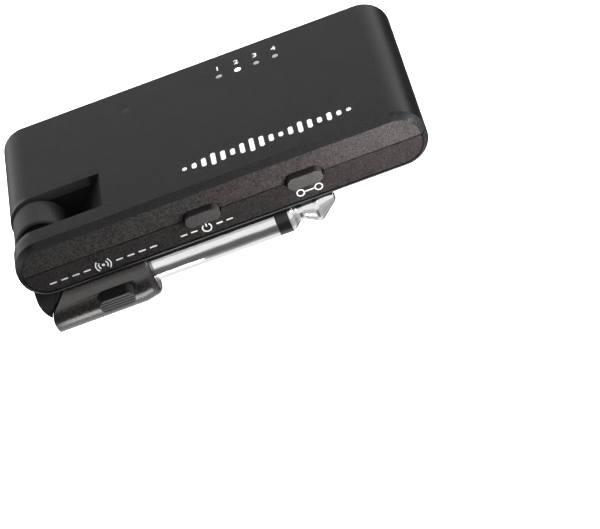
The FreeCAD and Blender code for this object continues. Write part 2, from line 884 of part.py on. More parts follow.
def plug_tip():
    """The tip: a cone, a round bulge, a waist that the jack's spring drops into, and the rod."""
    start = value("sleeve_length") + value("ring_length")
    end = start + value("tip_length")
    rod_radius = value("rod_radius")
    tail = value("tail_end")
    hole = rod_radius - 0.01

    def at(distance, radius):
        """A point of the outline, this far along the tip from the insulator."""
        return Vector(start + distance, 0, radius)

    length = end - start
    lines = [
        (at(0.0, 3.08), at(0.55, 2.93)),
        (at(0.55, 2.93), at(1.35, 2.18)),
        (at(1.35, 2.18), at(2.0, 1.97), at(2.75, 2.22)),
        (at(2.75, 2.22), at(4.15, 2.98)),
        (at(4.15, 2.98), at(4.75, 3.13), at(5.2, 2.95)),
        (at(5.2, 2.95), at(length - 0.4, 1.02)),
        (at(length - 0.4, 1.02), at(length - 0.12, 0.72), at(length, 0.35)),
        (at(length, 0.35), at(length, 0)),
        (at(length, 0), Vector(tail, 0, 0)),
        (Vector(tail, 0, 0), Vector(tail, 0, hole)),
        (Vector(tail, 0, hole), at(0, hole)),
        (at(0, hole), at(0.0, 3.08)),
    ]
    outline_edges = []
    for line in lines:
        curve = Part.LineSegment(*line) if len(line) == 2 else Part.Arc(*line)
        outline_edges.append(curve.toShape())
    face = Part.Face(Part.Wire(outline_edges))
    item = doc.addObject("Part::Feature", "plug_tip_turned")
    item.Shape = face.revolve(Vector(), Vector(1, 0, 0), 360)
    item.Placement = FreeCAD.Placement()
    return item


def make_buttons():
    """Two push buttons with a switch behind each."""
    for name, middle in button_places():
        cap = slot_bar(
            name + "_cap", "button_length", "button_height", BUTTON_FACE,
            "case_front + plate_depth + fit_gap", middle, PARTING,
        )
        flange = slot_bar(
            name + "_flange", "button_length + 2 * flange_rim", "button_height + 2 * flange_rim",
            "case_front + plate_depth + fit_gap", "case_front + plate_depth + flange_depth",
            middle, PARTING,
        )
        end = "case_front + plate_depth + flange_depth + stem_length"
        stem = rod(name + "_stem", "Y", "stem_radius", "case_front + plate_depth", end, middle, PARTING)
        part(name + "_button", fuse(name + "_button_form", cap, flange, stem))
        tip = end + " + button_travel + switch_gap"
        shelf = tip + " + plunger_length"
        body = box(
            name + "_switch_body", (middle + " - switch_half", middle + " + switch_half"),
            (shelf, shelf + " + switch_depth"), (BOARD_TOP, BOARD_TOP + " + switch_height"),
        )
        plunger = rod(
            name + "_plunger", "Y", "plunger_radius", tip, shelf + " + switch_gap", middle, PARTING
        )
        part(name + "_switch", fuse(name + "_switch_form", body, plunger))


def make_lights():
    """Four lights in a row, each with a light pipe up to the top cover, and a blank plug."""
    for index in range(LIGHTS):
        middle = light_middle(index)
        part(
            "light_pipe_%d" % (index + 1),
            rod(
                "pipe_%d" % index, "Z", "light_radius", BOARD_TOP + " + chip_height + chip_clear",
                CASE_TOP + " - light_recess", middle, "light_row",
            ),
        )
        part(
            "light_chip_%d" % (index + 1),
            box(
                "chip_%d" % index, (middle + " - chip_half", middle + " + chip_half"),
                ("light_row - chip_half", "light_row + chip_half"),
                (BOARD_TOP, BOARD_TOP + " + chip_height"),
            ),
        )
    part(
        "blank_plug",
        rod(
            "blank_rod", "Z", "blank_radius", CASE_TOP + " - inner_inset", CASE_TOP + " - fit_gap",
            "blank_middle", "blank_row",
        ),
    )


def make_board():
    """The circuit board, its chips, the battery and the charging port."""
    top = BOARD_TOP
    sheet_form = box(
        "board_sheet", ("board_left", "board_right"), ("board_front", "board_back"), ("board_bottom", top)
    )
    port_front = CASE_BACK + " - port_depth"
    port_gap = box(
        "board_port_gap",
        ("port_middle - port_width / 2 - board_gap", "port_middle + port_width / 2 + board_gap"),
        (port_front + " - board_gap", "board_back + overrun"), ("board_bottom - overrun", top + " + overrun"),
    )
    holes = [
        rod(
            "board_hole_%d" % index, "Z", "screw_radius + fit_gap", "board_bottom - overrun",
            top + " + overrun", x, y,
        )
        for index, (x, y) in enumerate(screw_places())
    ]
    part("circuit_board", cut("board_body", sheet_form, port_gap, *holes))
    screws = []
    for index, (x, y) in enumerate(screw_places()):
        shank = rod(
            "shank_%d" % index, "Z", "screw_radius - solder_gap", "board_bottom - screw_top",
            top + " + post_sink", x, y,
        )
        head = rod("head_%d" % index, "Z", "screw_head", top + " + slip", top + " + screw_top", x, y)
        screws.append(fuse("screw_%d" % index, shank, head))
    group = doc.addObject("Part::Compound", "board_screw_group")
    group.Links = screws
    part("board_screws", group)

    outer = slot_bar(
        "port_outer", "port_width", "port_height", port_front, CASE_BACK + " - plate_draft",
        "port_middle", PARTING,
    )
    mouth = slot_bar(
        "port_mouth", "port_width - 2 * port_wall", "port_height - 2 * port_wall",
        port_front + " + port_floor", CASE_BACK + " + overrun", "port_middle", PARTING,
    )
    part("charging_port", cut("charging_port_shell", outer, mouth))
    part(
        "port_tongue",
        box(
            "port_tongue_plate", ("port_middle - tongue_half", "port_middle + tongue_half"),
            (port_front + " + port_floor + slip", CASE_BACK + " - tongue_set_back"),
            (PARTING + " - tongue_rise", PARTING + " + tongue_rise"),
        ),
    )
    blocks = {
        "radio_shield": ((1.2, 13.2), (13.8, 21.5), (0.02, 1.7)),
        "antenna": ((32.0, 38.5), (-4.9, -2.9), (0.02, 1.1)),
        "audio_converter": ((14.6, 18.6), (-0.4, 3.6), (0.02, 0.9)),
        "charge_controller": ((32.2, 35.2), (15.2, 18.2), (0.02, 0.8)),
        "processor": ((20.6, 26.6), (13.3, 18.3), (0.02, 0.9)),
    }
    for name, (x, y, z) in blocks.items():
        rise = ["%s + %.2f" % (top, step) for step in z]
        part(name, box(name + "_block", x, y, rise))
    part("battery", box("battery_pouch", (13.0, 43.0), (-0.9, 12.7), (top + " + 1.0", top + " + 3.4")))
    part("battery_pad", box("pad_sheet", (15.0, 41.0), (0.6, 11.2), (top + " + 3.42", top + " + 3.75")))


def check_and_write():
    doc.recompute()
    for item in doc.Objects:
        if "Invalid" in item.State or "Error" in item.State:
            raise RuntimeError("failed object: " + item.Label)
    for name, item in parts.items():
        if item.Shape.isNull() or not item.Shape.isValid() or not item.Shape.Solids:
            raise RuntimeError("bad shape: " + name)
    os.makedirs("parts", exist_ok=True)
    for name, item in parts.items():
        item.Shape.exportStep("parts/%s.step" % name)
        bounds = item.Shape.BoundBox
        print(
            "%-18s solids %d  volume %9.2f  x %6.2f..%6.2f  y %6.2f..%6.2f  z %6.2f..%6.2f"
            % (
                name, len(item.Shape.Solids), item.Shape.Volume, bounds.XMin, bounds.XMax,
                bounds.YMin, bounds.YMax, bounds.ZMin, bounds.ZMax,
            )
        )


make_covers()
make_chassis()
make_hinge_bay()
make_pin()
make_arm()
make_housing()
make_lock()
make_plug()
make_buttons()
make_lights()
make_board()
check_and_write()
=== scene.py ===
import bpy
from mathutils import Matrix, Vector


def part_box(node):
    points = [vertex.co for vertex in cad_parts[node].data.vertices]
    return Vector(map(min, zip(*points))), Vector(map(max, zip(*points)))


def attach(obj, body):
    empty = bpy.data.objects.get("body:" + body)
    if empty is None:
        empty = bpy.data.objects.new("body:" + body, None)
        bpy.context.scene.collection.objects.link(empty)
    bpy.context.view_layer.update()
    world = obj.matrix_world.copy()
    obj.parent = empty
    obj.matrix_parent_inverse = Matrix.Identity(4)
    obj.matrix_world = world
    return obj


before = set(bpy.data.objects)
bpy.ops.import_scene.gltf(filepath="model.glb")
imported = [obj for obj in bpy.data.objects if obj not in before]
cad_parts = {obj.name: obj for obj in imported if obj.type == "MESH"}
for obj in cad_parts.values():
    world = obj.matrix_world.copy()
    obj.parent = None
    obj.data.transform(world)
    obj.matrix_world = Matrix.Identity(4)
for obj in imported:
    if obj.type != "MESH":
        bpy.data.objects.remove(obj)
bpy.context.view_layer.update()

import math

import bmesh
import bpy
from mathutils import Matrix, Quaternion, Vector

MM = 0.001

# the case and its bay, read from the frame
TOP_LOW, TOP_HIGH = (Vector(corner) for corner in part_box("top_cover"))
BOTTOM_LOW, BOTTOM_HIGH = (Vector(corner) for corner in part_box("bottom_cover"))
BAY_LOW, BAY_HIGH = (Vector(corner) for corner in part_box("hinge_bay"))
CASE_LEFT, CASE_RIGHT = TOP_LOW.x, TOP_HIGH.x
CASE_FRONT, CASE_BACK = TOP_LOW.y, TOP_HIGH.y
CASE_TOP, CASE_BOTTOM = TOP_HIGH.z, BOTTOM_LOW.z
SEAM = (TOP_LOW.z + BOTTOM_HIGH.z) / 2
# each half of the side walls leans in by this much between the seam and the cover's edge
WALL_LEAN = 0.3 * MM
# how thick each side wall of the bay is
BAY_SIDE_WALL = 0.6 * MM
# how far short of the bay's end the cut in the top cover begins to slope
CUT_SLOPE = 1.5 * MM
# the four lights on top are numbered from 1, and the second one is on
LIGHT_NUMBERS = range(1, 5)
LIT_NUMBER = 2


# ---------------------------------------------------------------- node helpers


def math_node(tree, operation, *sources):
    """A sum, a product or the like of sockets and plain numbers."""
    node = tree.nodes.new("ShaderNodeMath")
    node.operation = operation
    for socket, source in zip(node.inputs, sources):
        if isinstance(source, bpy.types.NodeSocket):
            tree.links.new(source, socket)
        else:
            socket.default_value = source
    return node.outputs["Value"]


def ramp_node(tree, source, start, end, low, high):
    """Goes from low to high as the source goes from start to end, and stays level past them."""
    node = tree.nodes.new("ShaderNodeMapRange")
    for socket, value in zip(("From Min", "From Max", "To Min", "To Max"), (start, end, low, high)):
        node.inputs[socket].default_value = value
    tree.links.new(source, node.inputs["Value"])
    return node.outputs["Result"]


def split_node(tree, vector):
    """The x, y and z of a vector."""
    node = tree.nodes.new("ShaderNodeSeparateXYZ")
    tree.links.new(vector, node.inputs["Vector"])
    return [node.outputs[axis] for axis in "XYZ"]


class Paint:
    """A node material on the object's own coordinates, with its shader's sockets at hand."""

    def __init__(self, name, colour, metallic=0.0, roughness=0.5, specular=0.5):
        self.material = bpy.data.materials.new(name)
        self.material.use_nodes = True
        self.tree = self.material.node_tree
        self.shader = self.tree.nodes["Principled BSDF"]
        self.colour = colour
        self.set("Base Color", (*colour, 1.0))
        self.set("Metallic", metallic)
        self.set("Roughness", roughness)
        self.set("Specular IOR Level", specular)
        self.place = self.tree.nodes.new("ShaderNodeTexCoord").outputs["Object"]

    def set(self, socket, value):
        self.shader.inputs[socket].default_value = value

    def link(self, source, socket):
        self.tree.links.new(source, socket)

    def glow(self, colour, strength):
        self.set("Emission Color", (*colour, 1.0))
        self.set("Emission Strength", strength)

    def axes(self):
        return split_node(self.tree, self.place)

    def noise(self, size, detail=2.0, stretch=(1, 1, 1)):
        """Noise whose blotches are about this many millimetres across."""
        spread = self.tree.nodes.new("ShaderNodeMapping")
        spread.inputs["Scale"].default_value = stretch
        self.link(self.place, spread.inputs["Vector"])
        node = self.tree.nodes.new("ShaderNodeTexNoise")
        node.inputs["Scale"].default_value = 1 / (size * MM)
        node.inputs["Detail"].default_value = detail
        self.link(spread.outputs["Vector"], node.inputs["Vector"])
        return node.outputs["Fac"]

    def flakes(self, size):
        """A random value for each cell, such as a metal flake's brightness."""
        node = self.tree.nodes.new("ShaderNodeTexVoronoi")
        node.inputs["Scale"].default_value = 1 / (size * MM)
        self.link(self.place, node.inputs["Vector"])
        split = self.tree.nodes.new("ShaderNodeSeparateColor")
        self.link(node.outputs["Color"], split.inputs["Color"])
        return split.outputs["Red"]

    def ramp(self, source, low, high, start, end):
        return ramp_node(self.tree, source, start, end, low, high)

    def combine(self, operation, *sources):
        return math_node(self.tree, operation, *sources)

    def mix_colour(self, share, first, second):
        """The base colour goes from the first to the second as the share goes from 0 to 1."""
        mix = self.tree.nodes.new("ShaderNodeMix")
        mix.data_type = "RGBA"
        self.link(share, mix.inputs["Factor"])
        for socket, source in zip("AB", (first, second)):
            if isinstance(source, bpy.types.NodeSocket):
                self.link(source, mix.inputs[socket])
            else:
                mix.inputs[socket].default_value = (*source, 1.0)
        self.link(mix.outputs["Result"], self.shader.inputs["Base Color"])
        return mix.outputs["Result"]

    def vary_colour(self, source, low, high, start=0.3, end=0.7):
        """Scales the base colour between two shares as the source goes from start to end."""
        shades = [[part * share for part in self.colour] for share in (low, high)]
        return self.mix_colour(self.ramp(source, 0.0, 1.0, start, end), *shades)

    def vary_roughness(self, source, low, high, start=0.3, end=0.7):
        self.link(self.ramp(source, low, high, start, end), self.shader.inputs["Roughness"])

    def bump(self, source, depth, strength):
        """Raises the surface by up to this many millimetres, and returns the finished material."""
        node = self.tree.nodes.new("ShaderNodeBump")
        node.inputs["Distance"].default_value = depth * MM
        node.inputs["Strength"].default_value = strength
        self.link(source, node.inputs["Height"])
        self.link(node.outputs["Normal"], self.shader.inputs["Normal"])
        return self.material


# ---------------------------------------------------------------- materials

SATIN_COLOUR = (0.006, 0.0061, 0.0062)
# the ramp and side walls of the bay, and the side walls of the cut above them, which are painted lighter
# as painted light
BAY_COLOUR = (0.0105, 0.0108, 0.011)
CUT_WALL_PAINTED_LIGHT = (0.036, 0.037, 0.038)
# the moulded grain of the black plastic: its size, depth and strength
GRAIN, GRAIN_DEPTH, GRAIN_STRENGTH = 0.2, 0.016, 0.6
# the width over which one shade turns to the next at an edge
SHADE_EDGE = 0.05 * MM


def satin_black(name, colour=SATIN_COLOUR, roughness=0.34, specular=0.5, painted_light_walls=False):
    """Moulded black plastic with a fine even grain, and walls in the cut for the bay painted lighter, as
    painted light.
    """
    paint = Paint(name, colour, roughness=roughness, specular=specular)
    grain = paint.noise(GRAIN)
    grained = paint.vary_colour(grain, low=0.1, high=2.3, start=0.35, end=0.65)
    if painted_light_walls:
        # painted light: the cut's side walls get a lighter colour, as if lit
        paint.mix_colour(cut_wall_share(paint), grained, CUT_WALL_PAINTED_LIGHT)
    blotch = paint.noise(9.0)
    paint.vary_roughness(blotch, roughness - 0.02, roughness + 0.03)
    return paint.bump(grain, GRAIN_DEPTH, GRAIN_STRENGTH)


def cut_wall_share(paint):
    """1 on the side walls of the top cover's cut for the bay, where the painted light goes, and 0
    elsewhere on the cover.
    """
    x, y, z = paint.axes()
    slope, top = BAY_HIGH.x - CUT_SLOPE, CASE_TOP - SHADE_EDGE
    share = paint.ramp(x, 0.0, 1.0, slope, slope - SHADE_EDGE)
    for axis, start, end in (
        (y, BAY_LOW.y - SHADE_EDGE, BAY_LOW.y),
        (y, BAY_HIGH.y + SHADE_EDGE, BAY_HIGH.y),
        (z, top, top - SHADE_EDGE),
    ):
        share = paint.combine("MINIMUM", share, paint.ramp(axis, 0.0, 1.0, start, end))
    return share


def bay_black(name):
    """The bay's ramp is satin black like the covers; its side walls, under the lips, are matt and
    painted much darker, as painted shade.
    """
    satin, matt = 0.4, 0.9
    paint = Paint(name, BAY_COLOUR, roughness=satin, specular=0.5)
    y = paint.axes()[1]
    off_middle = paint.combine("ABSOLUTE", paint.combine("SUBTRACT", y, (BAY_LOW.y + BAY_HIGH.y) / 2))
    wall = (BAY_HIGH.y - BAY_LOW.y) / 2 - BAY_SIDE_WALL
    start = wall - 0.2 * MM
    # painted shade: the side walls under the lips darken to a tenth of the colour
    paint.vary_colour(off_middle, low=1.0, high=0.1, start=start, end=wall)
    paint.vary_roughness(off_middle, satin, matt, start=start, end=wall)
    return paint.bump(paint.noise(GRAIN), GRAIN_DEPTH, GRAIN_STRENGTH)


def flake_bronze(name, colour, flake=0.2, roughness=0.45, contrast=0.35, metallic=0.55, depth=0.016):
    """Bronze-grey metallic paint over a coarse grain."""
    paint = Paint(name, colour, metallic=metallic, roughness=roughness, specular=0.4)
    cells = paint.flakes(flake)
    grain = paint.noise(flake * 1.1)
    both = paint.combine("ADD", cells, grain)
    paint.vary_colour(both, 1 - contrast, 1 + contrast, start=0.55, end=1.45)
    paint.vary_roughness(cells, roughness - 0.08, roughness + 0.08, start=0.1, end=0.9)
    return paint.bump(grain, depth, 0.6)


def polished_metal(name, colour, roughness=0.07):
    """Nickel plate with faint handling marks, drawn out along the plug."""
    paint = Paint(name, colour, metallic=1.0, roughness=roughness)
    marks = paint.noise(1.2, detail=5.0, stretch=(0.5, 1, 1))
    paint.vary_roughness(marks, roughness, roughness + 0.07, start=0.35, end=0.75)
    paint.vary_colour(marks, 0.94, 1.03)
    return paint.bump(marks, 0.05, 0.5)


def turned_metal(name, colour, roughness=0.3):
    """Bare metal with the fine lines that a cutting tool leaves."""
    paint = Paint(name, colour, metallic=1.0, roughness=roughness)
    lines = paint.noise(0.1, stretch=(0.05, 1, 0.05))
    paint.vary_roughness(lines, roughness - 0.08, roughness + 0.12)
    paint.vary_colour(paint.noise(2.0), 0.85, 1.1)
    return paint.bump(lines, 0.005, 0.4)


def plain_plastic(name, colour, roughness, grain):
    paint = Paint(name, colour, roughness=roughness, specular=0.45)
    fine = paint.noise(grain, detail=3.0)
    paint.vary_colour(paint.noise(grain * 9), 0.9, 1.1)
    paint.vary_roughness(fine, roughness - 0.06, roughness + 0.06)
    return paint.bump(fine, 0.008, 0.4)


def ridged_black(name):
    """The lock button's plastic: its ridge crests are painted lighter and the grooves between them
    darker, as painted highlight and shade.
    """
    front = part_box("lock_button")[0][1]
    paint = Paint(name, (0.03, 0.0296, 0.03), roughness=0.4, specular=0.5)
    ridge, groove = front + 0.05 * MM, front + 0.22 * MM
    # painted highlight and shade: lighter at the ridge crests, darker down in the grooves
    paint.vary_colour(paint.axes()[1], low=2.0, high=0.45, start=ridge, end=groove)
    return paint.bump(paint.noise(0.14, detail=3.0), 0.008, 0.4)


def frosted_pipe(name, colour, strength):
    """A light pipe's end: glowing white when its light is on; when it is off, grey with a faint painted
    glow.
    """
    paint = Paint(name, colour, roughness=0.28, specular=0.5)
    cloud = paint.noise(0.35)
    paint.vary_colour(cloud, 0.85, 1.12)
    paint.set("Subsurface Weight", 0.2)
    paint.set("Subsurface Scale", 0.4 * MM)
    paint.glow((0.93, 0.97, 1.0), strength)
    return paint.bump(cloud, 0.01, 0.3)


def white_ink(name, shade, strength):
    """Pad-printed white ink, slightly uneven, with a little glow to keep it bright in the shade."""
    paint = Paint(name, (shade, shade, shade), roughness=0.55, specular=0.3)
    spots = paint.noise(0.15, detail=3.0)
    paint.vary_colour(spots, 0.86, 1.08)
    paint.glow((1.0, 1.0, 1.0), strength)
    return paint.bump(spots, 0.004, 0.4)


def solder_mask(name):
    """A green board with faint tracks under its lacquer."""
    paint = Paint(name, (0.012, 0.075, 0.035), roughness=0.3, specular=0.5)
    tracks = paint.tree.nodes.new("ShaderNodeTexBrick")
    tracks.inputs["Scale"].default_value = 1 / (4.0 * MM)
    tracks.inputs["Color1"].default_value = (0, 0, 0, 1)
    tracks.inputs["Color2"].default_value = (0.15, 0.15, 0.15, 1)
    tracks.inputs["Mortar"].default_value = (1, 1, 1, 1)
    tracks.inputs["Mortar Size"].default_value = 0.03
    paint.link(paint.place, tracks.inputs["Vector"])
    paint.vary_colour(tracks.outputs["Color"], 0.9, 2.0, start=0.0, end=1.0)
    return paint.bump(paint.noise(0.6), 0.01, 0.3)


def foil_pouch(name):
    """The battery's creased foil."""
    paint = Paint(name, (0.62, 0.63, 0.65), metallic=0.9, roughness=0.34)
    creases = paint.noise(2.4, detail=5.0)
    paint.vary_roughness(creases, 0.26, 0.45)
    paint.vary_colour(creases, 0.9, 1.08)
    return paint.bump(creases, 0.12, 0.5)


def open_foam(name):
    """Dark foam with open cells."""
    paint = Paint(name, (0.035, 0.035, 0.038), roughness=0.95, specular=0.1)
    cells = paint.flakes(0.3)
    paint.vary_colour(cells, 0.5, 1.7, start=0.0, end=1.0)
    return paint.bump(cells, 0.15, 0.8)


def node_materials():
    """Each CAD node's material, by the node's name."""
    button = flake_bronze(
        "button_bronze", (0.034, 0.0322, 0.0314), flake=0.16, roughness=0.5, contrast=0.3, metallic=0.3,
        depth=0.006,
    )
    chrome = polished_metal("plug_chrome", (0.88, 0.88, 0.89))
    ring_black = plain_plastic("insulator_black", (0.0035, 0.0031, 0.0029), 0.14, 0.3)
    steel = turned_metal("turned_steel", (0.56, 0.56, 0.58))
    brass = turned_metal("turned_brass", (0.62, 0.44, 0.2), 0.28)
    chip = plain_plastic("chip_black", (0.012, 0.012, 0.013), 0.5, 0.12)
    # painted glow: the unlit pipes still glow faintly, though their light is off
    unlit = frosted_pipe("pipe_unlit_painted_glow", (0.36, 0.35, 0.35), 0.05)
    lit = frosted_pipe("pipe_lit", (0.9, 0.92, 0.95), 2.5)
    looks = {
        "top_cover": satin_black("cover_black", painted_light_walls=True),
        "bottom_cover": satin_black("base_black", roughness=0.42, specular=0.2),
        "blank_plug": satin_black("blank_black", (0.012, 0.012, 0.0125), 0.3),
        "knuckle_barrel": satin_black("barrel_black", (0.013, 0.0132, 0.0145), 0.42),
        "arm_core": satin_black("core_black", (0.006, 0.006, 0.0065), 0.5),
        "hinge_bay": bay_black("bay_black"),
        # painted light and shade: both halves share one paint; the upper half's copy is lighter as lit,
        # the lower's darker as shaded
        "upper_chassis": flake_bronze(
            "upper_bronze_painted_light", (0.023, 0.0206, 0.0196), flake=0.14, contrast=0.8, metallic=0.35
        ),
        "lower_chassis": flake_bronze(
            "lower_bronze_painted_shade", (0.0138, 0.0123, 0.0118), flake=0.14, contrast=0.8, metallic=0.35
        ),
        "arm_cap": flake_bronze("cap_bronze", (0.012, 0.011, 0.0105), contrast=0.25, depth=0.01),
        "plug_housing": flake_bronze(
            "housing_bronze", (0.1, 0.0944, 0.092), flake=0.17, roughness=0.22, contrast=0.1,
            metallic=1.0, depth=0.006,
        ),
        "lock_button": ridged_black("lock_black"),
        "lock_slider": plain_plastic("slider_grey", (0.16, 0.16, 0.17), 0.5, 0.2),
        "hinge_collar": plain_plastic("collar_black", (0.01, 0.01, 0.01), 0.55, 0.2),
        "circuit_board": solder_mask("board_green"),
        "battery": foil_pouch("cell_foil"),
        "battery_pad": open_foam("foam_black"),
        "antenna": plain_plastic("antenna_ceramic", (0.62, 0.64, 0.66), 0.5, 0.2),
        "plug_wire": plain_plastic("wire_red", (0.35, 0.015, 0.012), 0.36, 0.3),
        "radio_shield": turned_metal("shield_tin", (0.5, 0.5, 0.52), 0.36),
        "charging_port": turned_metal("port_steel", (0.46, 0.46, 0.48), 0.26),
    }
    shared = (
        (button, ("power_button", "pair_button")),
        (chrome, ("plug_sleeve", "plug_tip")),
        (ring_black, ("plug_insulator", "plug_inner_tube")),
        (steel, ("hinge_pin", "friction_washer", "detent_ring", "lock_spring", "board_screws")),
        (brass, ("hinge_bush_front", "hinge_bush_back", "tip_lug", "sleeve_lug")),
        (chip, ("power_switch", "pair_switch", "port_tongue")),
        (chip, ("audio_converter", "charge_controller", "processor")),
    )
    for material, names in shared:
        looks.update(dict.fromkeys(names, material))
    for number in LIGHT_NUMBERS:
        looks["light_pipe_%d" % number] = lit if number == LIT_NUMBER else unlit
        looks["light_chip_%d" % number] = plain_plastic(
            "chip_white_%d" % number, (0.7, 0.66, 0.5), 0.35, 0.2
        )
    return looks


# ---------------------------------------------------------------- edges

# nodes whose outer edges catch the light on a small round, and its width in millimetres
EDGE_ROUNDS = {
    "top_cover": 0.07,
    "bottom_cover": 0.07,
    "upper_chassis": 0.05,
    "lower_chassis": 0.05,
    "knuckle_barrel": 0.06,
    "plug_housing": 0.35,
    "arm_cap": 0.08,
    "power_button": 0.16,
    "pair_button": 0.16,
    "lock_button": 0.05,
    "plug_sleeve": 0.05,
    "charging_port": 0.05,
    "radio_shield": 0.15,
    "battery": 0.3,
}
# vertices closer than this are one, and faces that turn by less than this are one flat face
WELD_REACH = 0.0005 * MM
FLAT_ANGLE = math.radians(0.2)
# edges that turn by more than these angles are rounded, and shaded as sharp
ROUND_ANGLE = math.radians(32)
SHARP_ANGLE = math.radians(35)


def finish_node(name, node, material):
    """Gives a CAD node its material, and rounds its edges without touching its own mesh."""
    node.data.materials.clear()
    node.data.materials.append(material)
    for polygon in node.data.polygons:
        polygon.use_smooth = True
        polygon.material_index = 0
    weld = node.modifiers.new("weld", "WELD")
    weld.merge_threshold = WELD_REACH
    flatten = node.modifiers.new("flatten", "DECIMATE")
    flatten.decimate_type = "DISSOLVE"
    flatten.angle_limit = FLAT_ANGLE
    if name in EDGE_ROUNDS:
        bevel = node.modifiers.new("edges", "BEVEL")
        bevel.width = EDGE_ROUNDS[name] * MM
        bevel.segments = 2
        bevel.limit_method = "ANGLE"
        bevel.angle_limit = ROUND_ANGLE
        bevel.use_clamp_overlap = True
        bevel.harden_normals = False
    split = node.modifiers.new("split", "EDGE_SPLIT")
    split.split_angle = SHARP_ANGLE
    level = node.modifiers.new("flat_faces", "WEIGHTED_NORMAL")
    level.mode = "FACE_AREA"
    level.weight = 100


# ---------------------------------------------------------------- thin flat pieces

PRINT_HEIGHT = 0.012 * MM
# how far the ink stands off each surface
TOP_CLEARANCE = 0.001 * MM
FRONT_CLEARANCE = 0.002 * MM


def piece(name, build, material, body="case"):
    """A mesh piece that a function fills in, riding on a body."""
    mesh = bpy.data.meshes.new(name)
    shape = bmesh.new()
    build(shape)
    bmesh.ops.recalc_face_normals(shape, faces=shape.faces)
    shape.to_mesh(mesh)
    shape.free()
    made = bpy.data.objects.new(name, mesh)
    bpy.context.scene.collection.objects.link(made)
    mesh.materials.append(material)
    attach(made, body)


def prism(shape, outline, surface, height=PRINT_HEIGHT):
    """A thin flat patch: an outline in a surface's own x and y, in millimetres."""
    low, high = (
        [shape.verts.new(surface @ Vector((x * MM, y * MM, level))) for x, y in outline]
        for level in (0, height)
    )
    shape.faces.new(low[::-1])
    shape.faces.new(high)
    for index in range(len(outline)):
        after = (index + 1) % len(outline)
        shape.faces.new((low[index], low[after], high[after], high[index]))


def bar_outline(x, y, length, width, angle=0.0, steps=8):
    """A round-ended bar centred on a point."""
    half, radius = length / 2 - width / 2, width / 2
    points = []
    for side in (1, -1):
        for step in range(steps + 1):
            turn = math.pi * (step / steps - 0.5)
            points.append((side * (half + radius * math.cos(turn)), side * radius * math.sin(turn)))
    cos, sin = math.cos(angle), math.sin(angle)
    return [(x + a * cos - b * sin, y + a * sin + b * cos) for a, b in points]


def arc_outline(x, y, radius, width, start, end, steps=24):
    """A stretch of a ring, its angles in degrees."""
    turns = [math.radians(start + (end - start) * step / steps) for step in range(steps + 1)]
    outer, inner = (
        [(x + reach * math.cos(turn), y + reach * math.sin(turn)) for turn in turns]
        for reach in (radius + width / 2, radius - width / 2)
    )
    return outer + inner[::-1]


def top_surface():
    """The top cover's flat face: x to the right, y to the back, measured from the case's corner."""
    return Matrix.Translation(Vector((CASE_LEFT, CASE_FRONT, CASE_TOP + TOP_CLEARANCE)))


def front_surface():
    """The lower half of the front wall: x to the right and y up, measured from the seam's left end."""
    lean = math.atan2(WALL_LEAN, SEAM - CASE_BOTTOM)
    turn = Matrix.Rotation(math.pi / 2 + lean, 4, "X")
    return Matrix.Translation(Vector((CASE_LEFT, CASE_FRONT - FRONT_CLEARANCE, SEAM))) @ turn


# ---------------------------------------------------------------- printed marks, in millimetres

UPRIGHT = math.pi / 2
# the row of bars on the top cover: their heights and width, and where the row runs
SOUND_BARS = (0.9, 1.5, 2.4, 3.4, 2.7, 1.8, 2.9, 3.8, 3.0, 2.0, 1.3, 2.2, 3.2, 2.5, 1.6, 2.3, 1.4, 0.9)
SOUND_WIDTH = 0.78
SOUND_FIRST, SOUND_LAST, SOUND_LEVEL = 30.3, 57.6, 6.4
# the middles of the marks on the front wall, their distance below the seam and their dashes' width
SEND_MIDDLE, POWER_MIDDLE, PAIR_MIDDLE = 13.3, 30.6, 47.7
FRONT_LEVEL = -2.62
DASH_WIDTH = 0.25
# the numerals' height, how much their strokes are thickened, and their distance from the front
NUMERAL_SIZE, NUMERAL_BOLD, NUMERAL_LEVEL = 1.72, 0.02, 32.65


def sound_mark(shape):
    """A row of upright bars like a sound level display."""
    surface = top_surface()
    step = (SOUND_LAST - SOUND_FIRST) / (len(SOUND_BARS) - 1)
    for index, height in enumerate(SOUND_BARS):
        bar = bar_outline(SOUND_FIRST + index * step, SOUND_LEVEL, height, SOUND_WIDTH, UPRIGHT)
        prism(shape, bar, surface)


def dashes(shape, surface, middle, nearest, count, step, length):
    """Short printed dashes on both sides of a mark on the front wall."""
    for index in range(count):
        for side in (-1, 1):
            place = middle + side * (nearest + step * index)
            prism(shape, bar_outline(place, FRONT_LEVEL, length, DASH_WIDTH), surface)


def send_mark(shape):
    """A radio wave between two dashed lines."""
    surface = front_surface()
    prism(shape, bar_outline(SEND_MIDDLE, FRONT_LEVEL, 0.5, 0.5), surface)
    for side in (0, 180):
        for radius in (0.75, 1.25):
            wave = arc_outline(SEND_MIDDLE, FRONT_LEVEL, radius, 0.2, side - 45, side + 45)
            prism(shape, wave, surface)
    dashes(shape, surface, SEND_MIDDLE, nearest=2.7, count=4, step=1.9, length=1.2)


def power_mark(shape):
    """A broken ring with an upright bar, between short dashes."""
    surface = front_surface()
    stroke = 0.22
    prism(shape, arc_outline(POWER_MIDDLE, FRONT_LEVEL - 0.08, 0.72, stroke, -232, 52), surface)
    prism(shape, bar_outline(POWER_MIDDLE, FRONT_LEVEL + 0.46, 0.8, stroke, UPRIGHT), surface)
    dashes(shape, surface, POWER_MIDDLE, nearest=2.1, count=2, step=1.7, length=1.1)


def pair_mark(shape):
    """Two rings side by side, joined by a bar."""
    surface = front_surface()
    stroke, off_middle = 0.2, 1.5
    for side in (-1, 1):
        ring = arc_outline(PAIR_MIDDLE + side * off_middle, FRONT_LEVEL, 0.58, stroke, 0, 359.9)
        prism(shape, ring, surface)
    prism(shape, bar_outline(PAIR_MIDDLE, FRONT_LEVEL, 1.5, stroke), surface)


